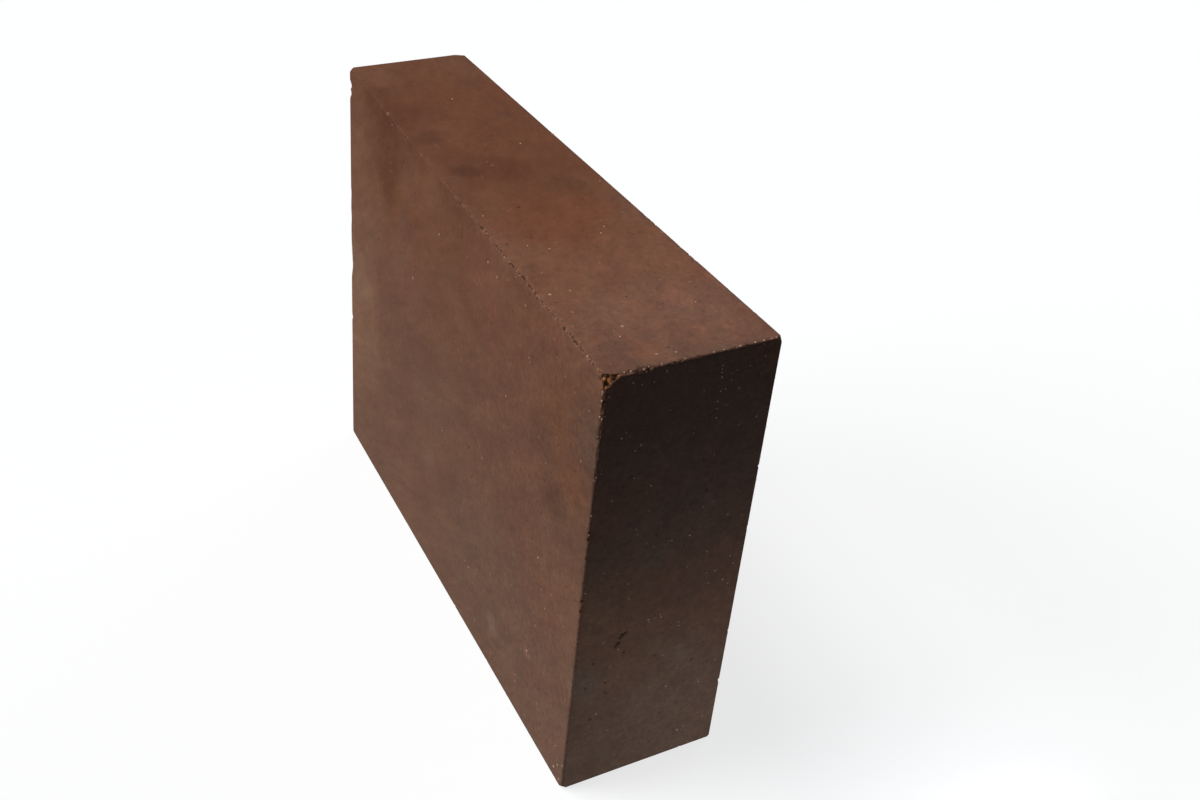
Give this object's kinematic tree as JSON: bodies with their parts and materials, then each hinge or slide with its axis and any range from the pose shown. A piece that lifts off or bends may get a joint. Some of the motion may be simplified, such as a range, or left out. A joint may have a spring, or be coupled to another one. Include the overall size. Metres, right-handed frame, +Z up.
{
  "type": "tapered refractory firebrick",
  "caption": "Tapered dense firebrick for lining a ring or arch, dark brown, with a shallow groove across its narrow end.",
  "frame": {"origin": "on the floor, under the middle of the brick as it stands on one of its two long narrow faces", "axes": "+Z up along the axial height, -Y towards the wide end and +Y towards the narrow grooved end, X across the tapering thickness"},
  "size_m": [0.069, 0.25, 0.198],
  "materials": {
    "fired_refractory": "matte pressed and fired, with rubbed and crumbled arrises"
  },
  "bodies": {
    "root": {"firebrick": "fired_refractory"}
  },
  "joints": []
}
